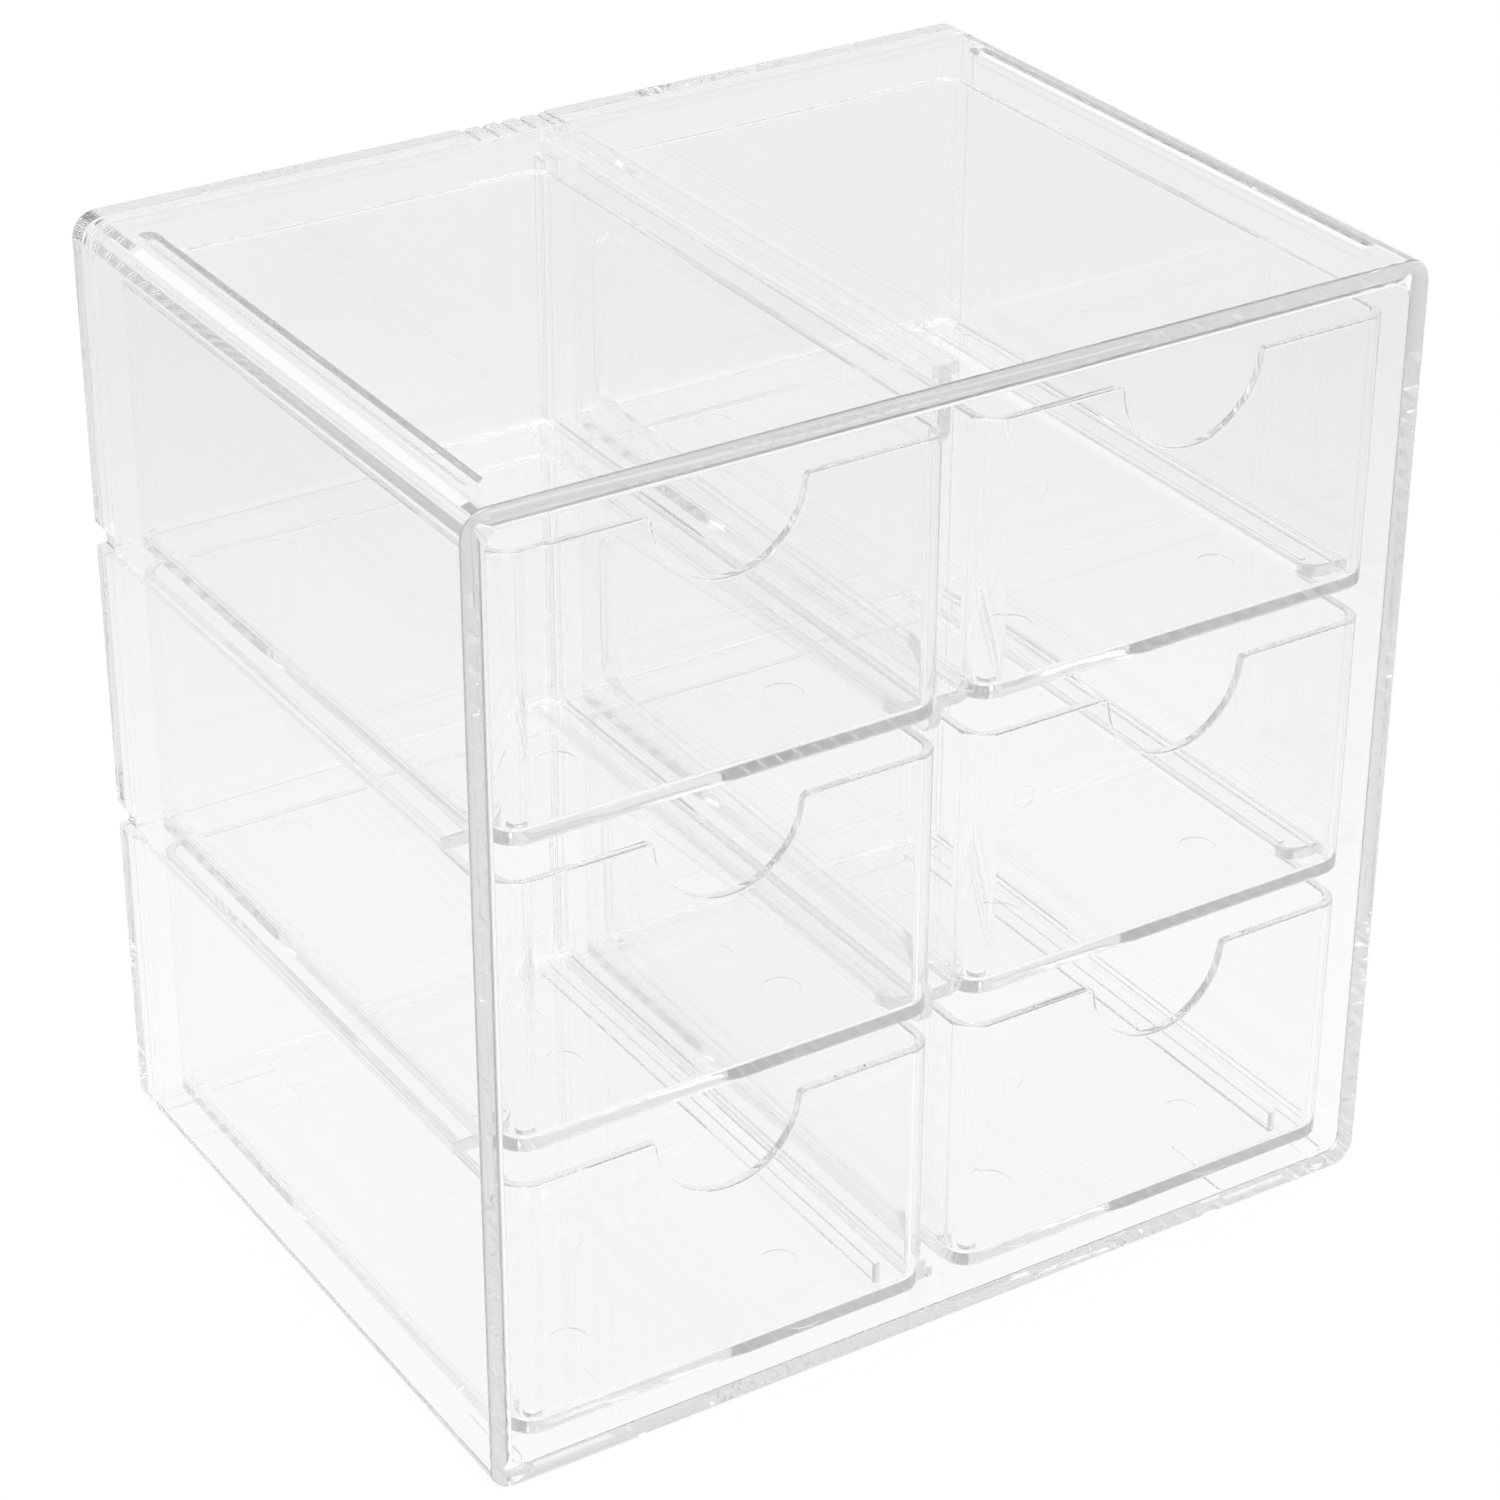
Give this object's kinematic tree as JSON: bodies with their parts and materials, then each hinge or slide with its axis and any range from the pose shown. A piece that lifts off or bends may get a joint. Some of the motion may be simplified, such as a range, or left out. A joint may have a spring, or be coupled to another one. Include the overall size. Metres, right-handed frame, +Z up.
{
  "type": "clear cosmetics organizer with drawers",
  "caption": "Clear plastic desktop organizer: a boxy sleeve with a centre comb, ledges and open-topped drawers with finger notches that slide out of the front.",
  "frame": {"origin": "centre of the footprint, on the surface that the feet rest on", "axes": "+X to the right as seen from the front, +Y to the back, +Z up; the drawers open towards -Y"},
  "size_m": [0.174, 0.13, 0.172],
  "materials": {
    "clear_shell": "clear moulded polystyrene, polished",
    "clear_panel": "clear moulded polystyrene, polished",
    "clear_comb": "clear moulded polystyrene, polished",
    "clear_drawer": "clear moulded polystyrene, polished"
  },
  "bodies": {
    "cabinet": {"cabinet_shell": "clear_shell", "back_panel": "clear_panel", "centre_divider": "clear_comb"},
    "drawer_top_left": {"drawer_top_left": "clear_drawer"},
    "drawer_top_right": {"drawer_top_right": "clear_drawer"},
    "drawer_middle_left": {"drawer_middle_left": "clear_drawer"},
    "drawer_middle_right": {"drawer_middle_right": "clear_drawer"},
    "drawer_bottom_left": {"drawer_bottom_left": "clear_drawer"},
    "drawer_bottom_right": {"drawer_bottom_right": "clear_drawer"}
  },
  "joints": [
    {"name": "slide_top_left", "type": "slide", "parent": "cabinet", "child": "drawer_top_left", "axis": [0, -1, 0], "range_m": [0, 0.108]},
    {"name": "slide_top_right", "type": "slide", "parent": "cabinet", "child": "drawer_top_right", "axis": [0, -1, 0], "range_m": [0, 0.108]},
    {"name": "slide_middle_left", "type": "slide", "parent": "cabinet", "child": "drawer_middle_left", "axis": [0, -1, 0], "range_m": [0, 0.108]},
    {"name": "slide_middle_right", "type": "slide", "parent": "cabinet", "child": "drawer_middle_right", "axis": [0, -1, 0], "range_m": [0, 0.108]},
    {"name": "slide_bottom_left", "type": "slide", "parent": "cabinet", "child": "drawer_bottom_left", "axis": [0, -1, 0], "range_m": [0, 0.108]},
    {"name": "slide_bottom_right", "type": "slide", "parent": "cabinet", "child": "drawer_bottom_right", "axis": [0, -1, 0], "range_m": [0, 0.108]}
  ]
}
